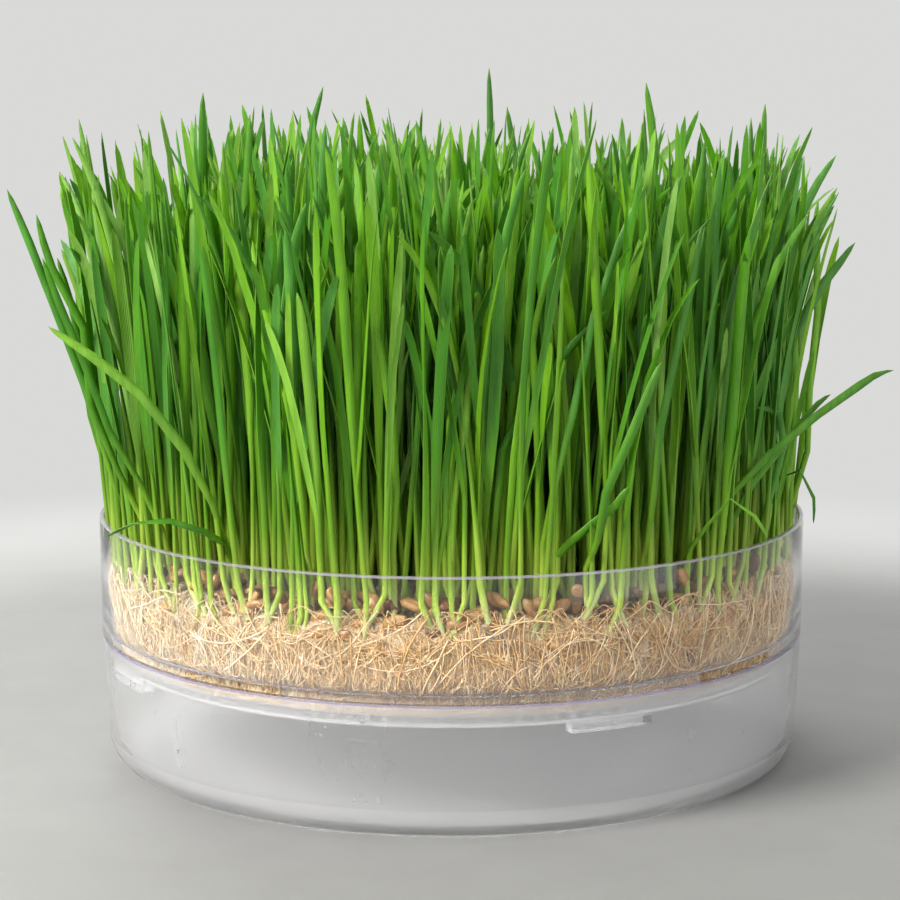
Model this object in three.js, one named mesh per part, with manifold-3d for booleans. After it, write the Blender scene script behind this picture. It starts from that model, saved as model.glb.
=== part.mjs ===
// A round clear plastic sprouting tray full of wheatgrass, standing on the matching tray that catches its water.
// Millimetres, +Z up. The origin is the centre of the underside, where the lower tray stands on the table.
// The front of the object faces -Y.

import * as THREE from "three";
import { mergeVertices } from "three/addons/utils/BufferGeometryUtils.js";
import Module from "manifold-3d";

const wasm = await Module();
wasm.setup();

// Both trays.
const trayRadius = 90;
const wall = 1.6;
const aroundTray = 64; // straight sides that a round wall is made of

// Lower tray, which catches the water.
const lowerHeight = 32;
const lowerFoot = 82.5; // radius of the flat underside
const lowerFloor = 1.8;
const cornerRise = 6.5; // height of the round corner between underside and wall
const lugCount = 4;
const lugFirst = THREE.MathUtils.degToRad(-66); // middle of the first lug, counted from +X
const lugArc = THREE.MathUtils.degToRad(14);
const lugDepth = 3.2;
const lugHeight = 2.2;

// Upper tray, which the wheat grows in.
const rimZ = 62;
const seamGap = 0.3; // between the lower tray's rim and the upper tray's shoulder
const shoulderZ = lowerHeight + seamGap;
const shoulderRise = 2; // thickness of the shoulder where the wall steps in
const skirtRadius = 87.4;
const skirtFoot = 26.6; // underside of the skirt, which stands on the lugs
const upperFloor = 1.7;
const keyArc = THREE.MathUtils.degToRad(22); // thick stretch of the skirt
const keyFirst = THREE.MathUtils.degToRad(-127);
const keyDepth = 1.2;
const slotRings = [
  { count: 64, inner: 80.2, outer: 83.4, width: 1.8 },
  { count: 20, inner: 50, outer: 70, width: 1.6 },
  { count: 10, inner: 18, outer: 40, width: 1.6 },
];

// Root mat, seeds and blades.
const clear = 0.4; // what grows keeps this far from the plastic
const matTop = 50.2;
const matWave = 0.9; // depth of the furrows that the roots leave in the mat's side
const seedGap = 0.3;
const seedTop = 53.4;
const kernel = { length: 6.8, width: 3.5, height: 3.2 };
const wallKernels = 70; // these lie in a ring against the wall
const innerKernels = 40;
const shootCount = 352;
const shootField = 84; // the shoots stand inside this radius
const rootDepth = 1.8; // how far a shoot is sunk in the seeds
const bladeRings = [0, 0.42, 0.8, 1]; // where along a blade its sections are, the last at the tip
const innerRings = [0, 0.62, 1]; // the same for the shoots in the middle, which the others hide
const innerField = 69; // these stand inside this radius
const strayRings = [0, 0.2, 0.4, 0.6, 0.82, 1];
const strayFacing = 0.35; // a stray blade's flat side is turned this far from the front, in radians
const spread = 97; // only strays reach further out than this radius
const rimReach = 86; // no shoot's middle is further out than this beside the tray's rim
const bladeLength = 111;
const apart = 3.7; // no two blades come nearer than this, at any height
const tries = 40;
const levels = 10;

// Blades that stray from the rest: width, then the points that the blade follows from its foot to its tip.
const strays = [
  { width: 3, path: [
    [-76, -31, 51.2], [-79.3, -31.5, 62.5], [-88.4, -32, 94.1], [-91.7, -31, 105.9], [-96.9, -30, 118.1],
    [-103, -29, 134.5], [-107.5, -28, 145.1],
  ] },
  { width: 3.2, path: [
    [-70, -44, 51.2], [-73.3, -43.3, 63], [-85.9, -46, 96], [-86.5, -46, 112.2], [-90.5, -45, 119.5],
    [-94.5, -44, 127.5], [-98.3, -42, 139.9],
  ] },
  { width: 2.6, path: [
    [-66, -52, 51.2], [-68.2, -51, 63], [-83.3, -56, 97.3], [-86.9, -57, 110.4], [-90.9, -57, 119.8],
    [-94.9, -56, 130.8],
  ] },
  { width: 2.8, path: [
    [-80, -20, 51.2], [-82.8, -19.7, 63], [-89.3, -20, 87.4], [-92.1, -18, 107.2], [-95.4, -17, 121],
    [-97.6, -16, 127.6],
  ] },
  { width: 3.2, path: [
    [-81, -10, 51.2], [-83.8, -10, 63], [-90.7, -10, 85.9], [-93.3, -8, 116.2], [-95.6, -6, 137.6],
    [-96.8, -5, 147.1],
  ] },
  { width: 3.6, path: [
    [-50, -62, 51.2], [-52, -66, 64], [-62.1, -74, 90.6], [-68.1, -76, 99.6], [-75.1, -77, 105.9],
    [-82.3, -78, 111.7], [-90.3, -79, 117.2],
  ] },
  { width: 2.6, path: [
    [-50, -64, 51.2], [-51.8, -66, 63.5], [-58.8, -78, 71], [-64.7, -80, 73.5], [-71.4, -81, 73],
    [-78.3, -82, 69.9],
  ] },
  { width: 3, path: [
    [20.5, -80, 51.2], [20.8, -81, 62], [20.8, -83, 69.2], [22.7, -83, 77.4], [23.8, -83, 86.1],
    [28.7, -82, 102.9], [33.1, -80, 123.2], [39.5, -78, 139.8], [43.3, -77, 148.6],
  ] },
  { width: 3.2, path: [
    [8, -78, 51.2], [9, -79, 63], [11.1, -80, 84.7], [11.7, -80, 90], [15.1, -80, 96.3], [24.9, -79, 110.5],
    [30.5, -79, 115.7], [35, -78, 120.7],
  ] },
  { width: 4, path: [
    [22, -74, 51.2], [23, -77, 63], [26.8, -80, 67.5], [30.8, -81, 71.3], [36.3, -82, 75.4], [40, -83, 81.3],
  ] },
  { width: 3.2, path: [
    [31, -80, 51.2], [30.6, -79.6, 62], [32.9, -84, 69.4], [33.9, -84, 76.5], [36.1, -84, 83.8],
    [39.8, -84, 91.9], [46.9, -83, 109.6],
  ] },
  { width: 3, path: [
    [0, -84, 51.2], [0, -84, 62], [0, -84.5, 64.9], [0.5, -84, 76.9], [2, -84, 86.3], [3.4, -83, 97.4],
    [4.9, -82, 110.4], [6.1, -80, 121.4], [7.2, -78, 135.3],
  ] },
  { width: 2.6, path: [
    [-4, -84.5, 51.2], [-3.2, -84.5, 62], [-3.1, -85, 65], [-1.1, -85, 75.1], [-1.1, -84, 86.3],
    [0.5, -83, 97.4], [2.3, -81, 109.1], [5.4, -79, 122],
  ] },
  { width: 3.4, path: [
    [-32, -78, 51.2], [-32.2, -77.6, 62], [-33, -80.4, 67], [-33.9, -83, 82.9], [-36.9, -82, 105.4],
    [-42.2, -80, 125.4], [-44.4, -78, 136.4],
  ] },
  { width: 3.2, path: [
    [-13, -83, 51.2], [-13, -83.5, 62], [-13.3, -84, 69.4], [-11.9, -84, 85.4], [-14.7, -82, 105.4],
    [-16.3, -80, 123.2], [-14, -78, 142.7],
  ] },
  { width: 3.4, path: [
    [44, -72, 51.2], [43.9, -71.8, 62], [45.3, -75.4, 68.5], [46.3, -77, 84.2], [49.1, -76, 102.4],
    [54, -74, 122.6], [56.6, -72, 139.1],
  ] },
  { width: 3.6, path: [
    [62, -46, 51.2], [63, -45, 63], [65.8, -42, 76], [72.7, -36, 104.1], [78.6, -32, 124.6],
    [82.6, -30, 133.4], [87.9, -27, 144.3], [93.5, -25, 152.9],
  ] },
  { width: 3, path: [
    [80, -24, 51.2], [82.2, -22.6, 62.5], [85.8, -20, 92.4], [84.6, -18, 113.9], [85.8, -16, 128.4],
    [92.5, -14, 138.9], [95.8, -13, 144.5],
  ] },
  { width: 2.8, path: [
    [82.5, -13.8, 51.2], [84.3, -12.8, 62.5], [88.3, -12, 69.1], [90, -11, 90.2], [92.2, -10, 114.3],
    [92.7, -10, 123.9], [91, -10, 131.9], [91.6, -10, 141.4],
  ] },
  { width: 3.6, path: [
    [74, -36, 51.2], [77, -35, 63], [79.4, -32, 86.7], [81.3, -30, 99.4], [83.4, -28, 108.3],
    [87.4, -26, 117.4], [92.7, -24, 123.1], [99.1, -22, 131.5],
  ] },
  { width: 3.4, path: [
    [58, -52, 51.2], [61, -52, 63], [66, -54, 74.4], [69.2, -54, 78.2], [75.4, -53, 83.8], [88.3, -50, 93.7],
    [95.3, -46, 97.7], [101.5, -42, 101], [106.2, -40, 102.2],
  ] },
  { width: 3.2, path: [
    [64, -50, 51.2], [66, -50, 63], [68.4, -50, 71.3], [73.5, -50, 78.5], [79.4, -49, 85.6], [82.2, -49, 89.2],
    [87.3, -47, 94.9], [90.3, -46, 97.2],
  ] },
  { width: 1.4, path: [
    [78, -34, 51.2], [78.8, -33.5, 63], [80, -36, 77.4], [82.2, -36, 78.7], [85.7, -36, 75.9], [88.1, -35, 71.1],
    [88.6, -34, 63.7],
  ] },
  { width: 1.8, path: [
    [55, -64, 51.2], [55.3, -64.2, 63], [58.8, -66, 66.9], [60.9, -67, 72.9], [64.4, -68, 75.7], [67.6, -69, 74.5],
    [70.5, -70, 70.9], [72.9, -70, 67.1],
  ] },
  { width: 2.6, path: [
    [74, -40, 51.2], [75, -40.4, 63], [79.9, -42, 83.3], [80.4, -43, 88.8], [77.8, -44, 92.8], [72.3, -45, 94.1],
  ] },
  { width: 3, path: [[9, 0, 51.2], [9.3, 0, 90], [9.7, 2, 140.7], [10.2, 4, 155.7], [9.7, 6, 173.8]] },
  { width: 4, path: [[-62, -8, 51.2], [-62.5, -8, 90], [-61.9, -8, 116.2], [-61.7, -8, 146.2], [-61.6, -8, 168]] },
  { width: 3, path: [[-34, -6, 51.2], [-34, -6, 90], [-34.9, -6, 128.6], [-35.2, -6, 156.1], [-31.8, -6, 169.4]] },
  { width: 3.6, path: [[50, -4, 51.2], [50, -4, 90], [50.3, -4, 128.4], [51.2, -4, 153.5], [48.8, -4, 170.2]] },
  { width: 3.2, path: [[78, -6, 51.2], [79, -6, 90], [78.6, -6, 116], [78.1, -6, 141.1], [78.4, -6, 165]] },
  { width: 3.2, path: [[-16, 70, 51.2], [-18, 73, 63], [-26, 88, 96], [-40, 106, 128]] },
  { width: 3.4, path: [[44, 66, 51.2], [45, 68, 63], [54, 84, 90], [68, 98, 116]] },
  { width: 3, path: [[-66, 48, 51.2], [-68, 50, 63], [-80, 60, 104], [-84, 64, 136]] },
  { width: 3.4, path: [[70, 40, 51.2], [73, 42, 63], [84, 50, 108], [90, 56, 142]] },
];

// The same run of numbers each time, from 0 to 1.
let seed = 20417;
function random() {
  seed = (seed * 16807) % 2147483647;
  return seed / 2147483647;
}

// A number round 0 that is seldom far from it, within 1.5.
function around() {
  return random() + random() + random() - 1.5;
}

function solidFrom(geometry) {
  const bare = geometry.clone();
  bare.deleteAttribute("normal");
  bare.deleteAttribute("uv");
  const merged = mergeVertices(bare, 1e-4);
  return new wasm.Manifold(
    new wasm.Mesh({
      numProp: 3,
      vertProperties: new Float32Array(merged.attributes.position.array),
      triVerts: new Uint32Array(merged.index.array),
    }),
  );
}

function geometryFrom(solid) {
  const mesh = solid.getMesh();
  const geometry = new THREE.BufferGeometry();
  geometry.setAttribute("position", new THREE.BufferAttribute(mesh.vertProperties, 3));
  geometry.setIndex(new THREE.BufferAttribute(mesh.triVerts, 1));
  geometry.computeVertexNormals();
  return geometry;
}

function namedMesh(name, solid, material) {
  const mesh = new THREE.Mesh(geometryFrom(solid), material);
  mesh.name = name;
  return mesh;
}

// A turned solid from radius and height pairs, about the Z axis.
function turned(profile) {
  const points = profile.map(([radius, z]) => new THREE.Vector2(radius, z));
  const geometry = new THREE.LatheGeometry(points, aroundTray);
  geometry.rotateX(Math.PI / 2);
  return solidFrom(geometry);
}

// A quarter round from one profile point to another, bulging away from the axis and down.
function cornerPoints(innerRadius, outerRadius, lowZ, highZ, steps) {
  return Array.from({ length: steps + 1 }, (_, i) => {
    const turn = (i / steps) * (Math.PI / 2);
    return [
      innerRadius + (outerRadius - innerRadius) * Math.sin(turn),
      highZ - (highZ - lowZ) * Math.cos(turn),
    ];
  });
}

// A piece of a ring, from one radius to another and one angle to another.
function ringPiece(inner, outer, middleAngle, arc, lowZ, highZ) {
  const shape = new THREE.Shape();
  shape.absarc(0, 0, outer, middleAngle - arc / 2, middleAngle + arc / 2, false);
  shape.absarc(0, 0, inner, middleAngle + arc / 2, middleAngle - arc / 2, true);
  const geometry = new THREE.ExtrudeGeometry(shape, {
    depth: highZ - lowZ,
    bevelEnabled: false,
    curveSegments: 4,
  });
  geometry.translate(0, 0, lowZ);
  return solidFrom(geometry);
}

function lowerTray() {
  const foot = cornerPoints(lowerFoot, trayRadius - 1.4, 0, cornerRise, 4);
  const inside = cornerPoints(lowerFoot - 0.6, trayRadius - 1.4 - wall, lowerFloor, cornerRise + 1.2, 3);
  let tray = turned([
    [0, 0],
    ...foot,
    [trayRadius, lowerHeight],
    [trayRadius - wall, lowerHeight],
    ...inside.reverse(),
    [0, lowerFloor],
  ]);
  const lugTop = skirtFoot;
  for (let i = 0; i < lugCount; i++) {
    const middle = lugFirst + (i * 2 * Math.PI) / lugCount;
    const outer = trayRadius - wall / 2 - 0.5;
    tray = tray.add(ringPiece(outer - lugDepth, outer, middle, lugArc, lugTop - lugHeight, lugTop));
  }
  return tray;
}

// The perforated floor: a plate with rings of narrow slots that let the water out.
function slottedPlate(radius, lowZ, highZ) {
  const shape = new THREE.Shape();
  shape.absarc(0, 0, radius, 0, Math.PI * 2, false);
  for (const ring of slotRings) {
    for (let i = 0; i < ring.count; i++) {
      const turn = ((i + 0.5) / ring.count) * Math.PI * 2;
      const along = new THREE.Vector2(Math.cos(turn), Math.sin(turn));
      const across = new THREE.Vector2(-along.y, along.x).multiplyScalar(ring.width / 2);
      const corner = (reach, side) =>
        along.clone().multiplyScalar(reach).addScaledVector(across, side);
      const slot = new THREE.Path();
      slot.setFromPoints([
        corner(ring.inner, -1),
        corner(ring.inner, 1),
        corner(ring.outer, 1),
        corner(ring.outer, -1),
      ]);
      slot.closePath();
      shape.holes.push(slot);
    }
  }
  const geometry = new THREE.ExtrudeGeometry(shape, {
    depth: highZ - lowZ,
    bevelEnabled: false,
    curveSegments: aroundTray / 2,
  });
  geometry.translate(0, 0, lowZ);
  return solidFrom(geometry);
}

function upperTray() {
  const profile = [
    [skirtRadius, skirtFoot],
    [skirtRadius, shoulderZ],
    [trayRadius, shoulderZ],
    [trayRadius, rimZ],
    [trayRadius - wall, rimZ],
    [trayRadius - wall, shoulderZ + shoulderRise],
    [skirtRadius - wall, shoulderZ + shoulderRise - 0.6],
    [skirtRadius - wall, skirtFoot],
    [skirtRadius, skirtFoot],
  ];
  let tray = turned(profile).add(
    slottedPlate(skirtRadius - wall / 2, skirtFoot + 0.4, skirtFoot + 0.4 + upperFloor),
  );
  for (let i = 0; i < lugCount; i++) {
    const middle = keyFirst + (i * 2 * Math.PI) / lugCount;
    const outer = skirtRadius - wall / 2;
    const piece = ringPiece(outer - wall / 2 - keyDepth, outer, middle, keyArc, skirtFoot + 1, shoulderZ + 1);
    tray = tray.add(piece);
  }
  return tray;
}

// The roots' felted mat fills the tray from its floor to the seeds, with furrows down its side.
function rootMat() {
  const floorZ = skirtFoot + 0.4 + upperFloor + clear;
  const stepZ = shoulderZ + shoulderRise + clear;
  const skirtInside = skirtRadius - wall - keyDepth - clear;
  const wallInside = trayRadius - wall - clear;
  const rows = [
    [skirtInside, floorZ],
    [skirtInside, shoulderZ + 0.8],
    [wallInside - 0.2, stepZ + 0.4],
    [wallInside, stepZ + 5],
    [wallInside - 0.3, matTop - 5],
    [wallInside - 1.6, matTop],
  ];
  const profile = [[0, floorZ], ...rows, [0, matTop]].map(([radius, z]) => new THREE.Vector2(radius, z));
  const geometry = new THREE.LatheGeometry(profile, aroundTray + 24);
  geometry.rotateX(Math.PI / 2);
  const position = geometry.attributes.position;
  const point = new THREE.Vector3();
  for (let i = 0; i < position.count; i++) {
    point.fromBufferAttribute(position, i);
    const radius = Math.hypot(point.x, point.y);
    if (radius < 1 || point.z > matTop - 1) continue;
    const turn = Math.atan2(point.y, point.x);
    const furrow = Math.sin(turn * 41 + point.z) * Math.sin(turn * 17 - point.z * 0.4);
    const scale = 1 - (matWave * (0.5 + 0.5 * furrow)) / radius;
    position.setXYZ(i, point.x * scale, point.y * scale, point.z);
  }
  return solidFrom(geometry);
}

// A shoot's axis: points from foot to tip, at equal steps along it. The lean grows towards the tip.
function axisOf(shoot) {
  const steps = levels;
  const points = [new THREE.Vector3(shoot.x, shoot.y, seedTop - rootDepth)];
  for (let i = 0; i < steps; i++) {
    const share = (i + 0.5) / steps;
    const angle = shoot.lean + shoot.bend * share * share;
    const step = shoot.length / steps;
    const last = points[points.length - 1];
    points.push(
      new THREE.Vector3(
        last.x + Math.sin(angle) * shoot.leanX * step,
        last.y + Math.sin(angle) * shoot.leanY * step,
        last.z + Math.cos(angle) * step,
      ),
    );
  }
  return points;
}

// Draws how one shoot leans. Those near the wall lean outwards.
function drawShoot(x, y) {
  const edge = (x * x + y * y) / (shootField * shootField);
  const tiltX = (x / shootField) * edge * 0.075 + around() * 0.07;
  const tiltY = (y / shootField) * edge * 0.075 + around() * 0.07;
  const lean = Math.sqrt(tiltX * tiltX + tiltY * tiltY) + 1e-6;
  const short = random();
  const size = short < 0.12 ? 0.62 + 0.25 * random() : 0.9 + 0.15 * random();
  return {
    x,
    y,
    lean,
    leanX: tiltX / lean,
    leanY: tiltY / lean,
    bend: 0.02 + 0.26 * random() * random(),
    length: bladeLength * size,
    width: 3 + 1.1 * random(),
    facing: random() * Math.PI,
  };
}

// The nearest that two axes come at the same height along their stretch in common.
function nearest(a, b) {
  let least = Infinity;
  for (let i = 1; i <= levels; i++) {
    const dx = a[i].x - b[i].x;
    const dy = a[i].y - b[i].y;
    least = Math.min(least, dx * dx + dy * dy);
  }
  return Math.sqrt(least);
}

// Shoots on a sunflower spiral, each leaning clear of those before it, or else as clear as it can.
function drawShoots() {
  const golden = Math.PI * (3 - Math.sqrt(5));
  const shoots = [];
  for (let i = 0; i < shootCount; i++) {
    const radius = shootField * Math.sqrt((i + 0.5) / shootCount);
    const x = radius * Math.cos(i * golden) + around() * 0.8;
    const y = radius * Math.sin(i * golden) + around() * 0.8;
    let best = null;
    for (let n = 0; n < tries; n++) {
      const shoot = drawShoot(x, y);
      shoot.axis = axisOf(shoot);
      const [, atRim] = shoot.axis;
      const tip = shoot.axis[levels];
      if (Math.hypot(tip.x, tip.y) > spread || Math.hypot(atRim.x, atRim.y) > rimReach) continue;
      shoot.room = shoots.reduce((least, other) => Math.min(least, nearest(shoot.axis, other.axis)), Infinity);
      if (!best || shoot.room > best.room) best = shoot;
      if (best.room > apart) break;
    }
    if (best) shoots.push(best);
  }
  return shoots;
}

// A blade's width at a share of its length: a round stem at the foot, widest past the middle, a point at the tip.
function widthAt(share, width) {
  const swell = 0.6 + 0.4 * Math.sin(Math.min(1, share / 0.7) * (Math.PI / 2));
  const taper = share > 0.7 ? Math.sqrt(Math.max(0, 1 - ((share - 0.7) / 0.3) ** 2)) : 1;
  return width * swell * taper;
}

// A keeled blade along a curve: three sides, the front face flat and the keel behind.
function bladeSolid(curve, width, facing, rings = bladeRings) {
  const spans = rings.length - 1;
  const geometry = new THREE.ConeGeometry(1, 1, 3, spans);
  const position = geometry.attributes.position;
  const side = new THREE.Vector3();
  const back = new THREE.Vector3();
  for (let i = 0; i < position.count; i++) {
    const ring = Math.round((0.5 - position.getY(i)) * spans);
    const share = rings[spans - ring];
    const at = curve.getPointAt(share);
    const ahead = curve.getTangentAt(share);
    side.set(Math.cos(facing), Math.sin(facing), 0);
    side.addScaledVector(ahead, -side.dot(ahead)).normalize();
    back.crossVectors(side, ahead);
    const isAxis = Math.hypot(position.getX(i), position.getZ(i)) < 1e-6;
    const corner = isAxis ? null : Math.atan2(position.getX(i), position.getZ(i));
    const half = widthAt(share, width) / 2;
    const keel = 0.45 + 0.75 * (1 - share);
    if (corner !== null) {
      at.addScaledVector(side, half * 1.15 * Math.sin(corner));
      at.addScaledVector(back, keel * Math.cos(corner));
    }
    position.setXYZ(i, at.x, at.y, at.z);
  }
  return solidFrom(geometry);
}

function curveThrough(points) {
  return new THREE.CatmullRomCurve3(points.map((point) => new THREE.Vector3(...point)));
}

// A grain of wheat lying half sunk in the seed layer.
function kernelSolid(x, y, turn, rise) {
  const geometry = new THREE.OctahedronGeometry(1);
  geometry.scale(kernel.length / 2, kernel.width / 2, kernel.height / 2);
  geometry.rotateY(rise);
  geometry.rotateZ(turn);
  geometry.translate(x, y, seedTop);
  return solidFrom(geometry);
}

// The sprouted wheat: the layer of seeds, with each blade rooted in it.
function sproutedWheat() {
  const layerRadius = trayRadius - wall - clear - 1.6;
  let wheat = turned([
    [0, matTop + seedGap],
    [layerRadius, matTop + seedGap],
    [layerRadius + 0.6, seedTop - 0.8],
    [layerRadius - 0.8, seedTop],
    [0, seedTop],
  ]);
  const shoots = drawShoots();
  for (const shoot of shoots) {
    const curve = new THREE.CatmullRomCurve3(shoot.axis);
    const rings = Math.hypot(shoot.x, shoot.y) < innerField ? innerRings : bladeRings;
    wheat = wheat.add(bladeSolid(curve, shoot.width, shoot.facing, rings));
  }
  for (const { width, path } of strays) {
    wheat = wheat.add(bladeSolid(curveThrough(path), width, strayFacing, strayRings));
  }
  for (let i = 0; i < wallKernels; i++) {
    const radius = layerRadius - 2.4 - 0.8 * random();
    const turn = ((i + 0.4 * random()) / wallKernels) * 2 * Math.PI;
    const facing = turn + Math.PI / 2 + around() * 0.25;
    wheat = wheat.add(kernelSolid(radius * Math.cos(turn), radius * Math.sin(turn), facing, around() * 0.3));
  }
  for (let i = 0; i < innerKernels; i++) {
    const radius = 79 * Math.sqrt(random());
    const turn = random() * 2 * Math.PI;
    const facing = random() * Math.PI;
    wheat = wheat.add(kernelSolid(radius * Math.cos(turn), radius * Math.sin(turn), facing, around() * 0.3));
  }
  return wheat;
}

const clearPlastic = new THREE.MeshStandardMaterial({
  color: 0xe4e8ee,
  roughness: 0.08,
  metalness: 0,
  transparent: true,
  opacity: 0.35,
});
const paleRoots = new THREE.MeshStandardMaterial({ color: 0xdcc59c, roughness: 0.85, metalness: 0 });
const greenWheat = new THREE.MeshStandardMaterial({ color: 0x5aa02c, roughness: 0.5, metalness: 0 });

const wheatgrassTray = new THREE.Group();
wheatgrassTray.add(
  namedMesh("lower_tray", lowerTray(), clearPlastic),
  namedMesh("upper_tray", upperTray(), clearPlastic),
  namedMesh("root_mat", rootMat(), paleRoots),
  namedMesh("sprouted_wheat", sproutedWheat(), greenWheat),
);

export default wheatgrassTray;
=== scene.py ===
# Wheatgrass growing in a round clear sprouting tray, on the clear tray that catches its water.
import math
import random

import bpy
import numpy as np
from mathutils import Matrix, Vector, noise


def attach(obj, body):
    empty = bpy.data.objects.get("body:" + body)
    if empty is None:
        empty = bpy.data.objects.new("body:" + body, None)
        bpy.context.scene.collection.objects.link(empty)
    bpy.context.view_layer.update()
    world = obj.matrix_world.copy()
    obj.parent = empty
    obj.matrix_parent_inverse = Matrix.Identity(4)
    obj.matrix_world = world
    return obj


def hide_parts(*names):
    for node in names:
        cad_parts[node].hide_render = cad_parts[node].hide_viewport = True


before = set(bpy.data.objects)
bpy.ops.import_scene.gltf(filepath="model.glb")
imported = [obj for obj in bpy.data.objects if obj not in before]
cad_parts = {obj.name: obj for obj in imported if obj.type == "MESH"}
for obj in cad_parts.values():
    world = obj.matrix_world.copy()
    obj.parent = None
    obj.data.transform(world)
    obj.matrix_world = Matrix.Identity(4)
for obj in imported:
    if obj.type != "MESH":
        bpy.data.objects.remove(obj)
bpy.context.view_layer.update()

mm = 0.001


# Small helpers

def clearPick():
    bpy.ops.object.select_all(action="DESELECT")


def pickOnly(piece):
    clearPick()
    piece.select_set(True)
    bpy.context.view_layer.objects.active = piece


def nameNew(name):  # the primitive just added gets its name
    piece = bpy.context.object
    piece.name = piece.data.name = name
    return piece


def smoothByAngle(piece, degrees):
    pickOnly(piece)
    bpy.ops.object.shade_smooth_by_angle(angle=math.radians(degrees))


def applyModifier(piece, kind, **settings):
    pickOnly(piece)
    modifier = piece.modifiers.new(kind.title(), kind)
    for key, value in settings.items():
        setattr(modifier, key, value)
    bpy.ops.object.modifier_apply(modifier=modifier.name)


def turnedPiece(name, rings, around):  # a filled circle, its edge extruded from ring to ring, then filled again
    clearPick()
    radius, z = rings[0]
    bpy.ops.mesh.primitive_circle_add(vertices=around, radius=radius * mm, fill_type="NGON", location=(0, 0, z * mm))
    piece = nameNew(name)
    bpy.ops.object.transform_apply(location=True, rotation=True, scale=True)
    bpy.ops.object.mode_set(mode="EDIT")
    bpy.ops.mesh.select_mode(type="EDGE")
    bpy.ops.mesh.select_all(action="SELECT")
    bpy.ops.mesh.region_to_loop()
    for (lastRadius, lastZ), (radius, z) in zip(rings, rings[1:]):
        bpy.ops.mesh.extrude_edges_move(TRANSFORM_OT_translate={"value": (0, 0, (z - lastZ) * mm)})
        grow = radius / lastRadius
        bpy.ops.transform.resize(value=(grow, grow, 1), center_override=(0, 0, z * mm))
    bpy.ops.mesh.edge_face_add()
    bpy.ops.mesh.select_all(action="SELECT")
    bpy.ops.mesh.normals_make_consistent(inside=False)
    bpy.ops.object.mode_set(mode="OBJECT")
    return piece


def pickFaces(piece, wanted):  # selects the faces whose middle and normal pass the test
    clearPick()
    pickOnly(piece)
    bpy.ops.object.mode_set(mode="EDIT")
    bpy.ops.mesh.select_mode(type="FACE")
    bpy.ops.mesh.select_all(action="DESELECT")
    bpy.ops.object.mode_set(mode="OBJECT")
    count = 0
    for face in piece.data.polygons:
        if wanted(face.center / mm, face.normal):
            face.select = True
            count += 1
    bpy.ops.object.mode_set(mode="EDIT")
    return count


def pushInwards(piece, wanted, radius, depth):  # thickens a stretch of wall towards the axis
    pickFaces(piece, wanted)
    bpy.ops.mesh.extrude_region_move(TRANSFORM_OT_translate={"value": (0, 0, 0)})
    shrink = (radius - depth) / radius
    bpy.ops.transform.resize(value=(shrink, shrink, 1), center_override=(0, 0, 0))
    bpy.ops.object.mode_set(mode="OBJECT")


def nearArc(point, firstDegrees, arcDegrees, count):  # is the point on one of the evenly spaced arcs
    turn = math.degrees(math.atan2(point.y, point.x))
    step = 360 / count
    away = (turn - firstDegrees + step / 2) % step - step / 2
    return abs(away) < arcDegrees / 2


def templateData(piece):  # the corners and faces of a modelled shape, which is then put away
    corners = np.array([v.co[:] for v in piece.data.vertices])
    faces = [tuple(f.vertices) for f in piece.data.polygons]
    bpy.data.objects.remove(piece)
    return corners, faces


def piecesFromCopies(name, corners, faces, values, smooth=True):  # corners: copies x points x 3
    copies, points = corners.shape[:2]
    loops = np.array([i for f in faces for i in f])
    sizes = np.array([len(f) for f in faces])
    allLoops = (loops[None, :] + (np.arange(copies) * points)[:, None]).ravel()
    allSizes = np.tile(sizes, copies)
    mesh = bpy.data.meshes.new(name)
    mesh.vertices.add(copies * points)
    mesh.vertices.foreach_set("co", corners.reshape(-1).astype(np.float32))
    mesh.loops.add(len(allLoops))
    mesh.loops.foreach_set("vertex_index", allLoops.astype(np.int32))
    mesh.polygons.add(len(allSizes))
    starts = np.concatenate([[0], np.cumsum(allSizes)[:-1]])
    mesh.polygons.foreach_set("loop_start", starts.astype(np.int32))
    mesh.polygons.foreach_set("use_smooth", np.full(len(allSizes), smooth))
    for key, data in values.items():  # one number for each corner
        layer = mesh.attributes.new(key, "FLOAT", "POINT")
        layer.data.foreach_set("value", np.ascontiguousarray(data, dtype=np.float32).reshape(-1))
    mesh.update(calc_edges=True)
    mesh.validate()
    piece = bpy.data.objects.new(name, mesh)
    bpy.context.collection.objects.link(piece)
    return piece


def rideAs(piece, node, slot, *materials):
    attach(piece, "root")
    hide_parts(node)
    piece.data.materials.clear()
    for material in materials:
        piece.data.materials.append(material)


# Materials

def newMaterial(name):
    material = bpy.data.materials.new(name)
    material.use_nodes = True
    nodes = material.node_tree.nodes
    nodes.clear()
    out = nodes.new("ShaderNodeOutputMaterial")
    shader = nodes.new("ShaderNodeBsdfPrincipled")
    material.node_tree.links.new(shader.outputs["BSDF"], out.inputs["Surface"])
    return material, material.node_tree, shader, out


def addNode(tree, kind, **settings):
    node = tree.nodes.new(kind)
    for key, value in settings.items():
        if key in node.inputs:
            node.inputs[key].default_value = value
        else:
            setattr(node, key, value)
    return node


def addRamp(tree, source, stops, mode="LINEAR"):  # stops: place and linear colour
    ramp = tree.nodes.new("ShaderNodeValToRGB")
    ramp.color_ramp.interpolation = mode
    elements = ramp.color_ramp.elements
    while len(elements) < len(stops):
        elements.new(0.5)
    for element, (place, colour) in zip(elements, stops):
        element.position = place
        element.color = (*colour, 1)
    tree.links.new(source, ramp.inputs["Fac"])
    return ramp.outputs["Color"]


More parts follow.
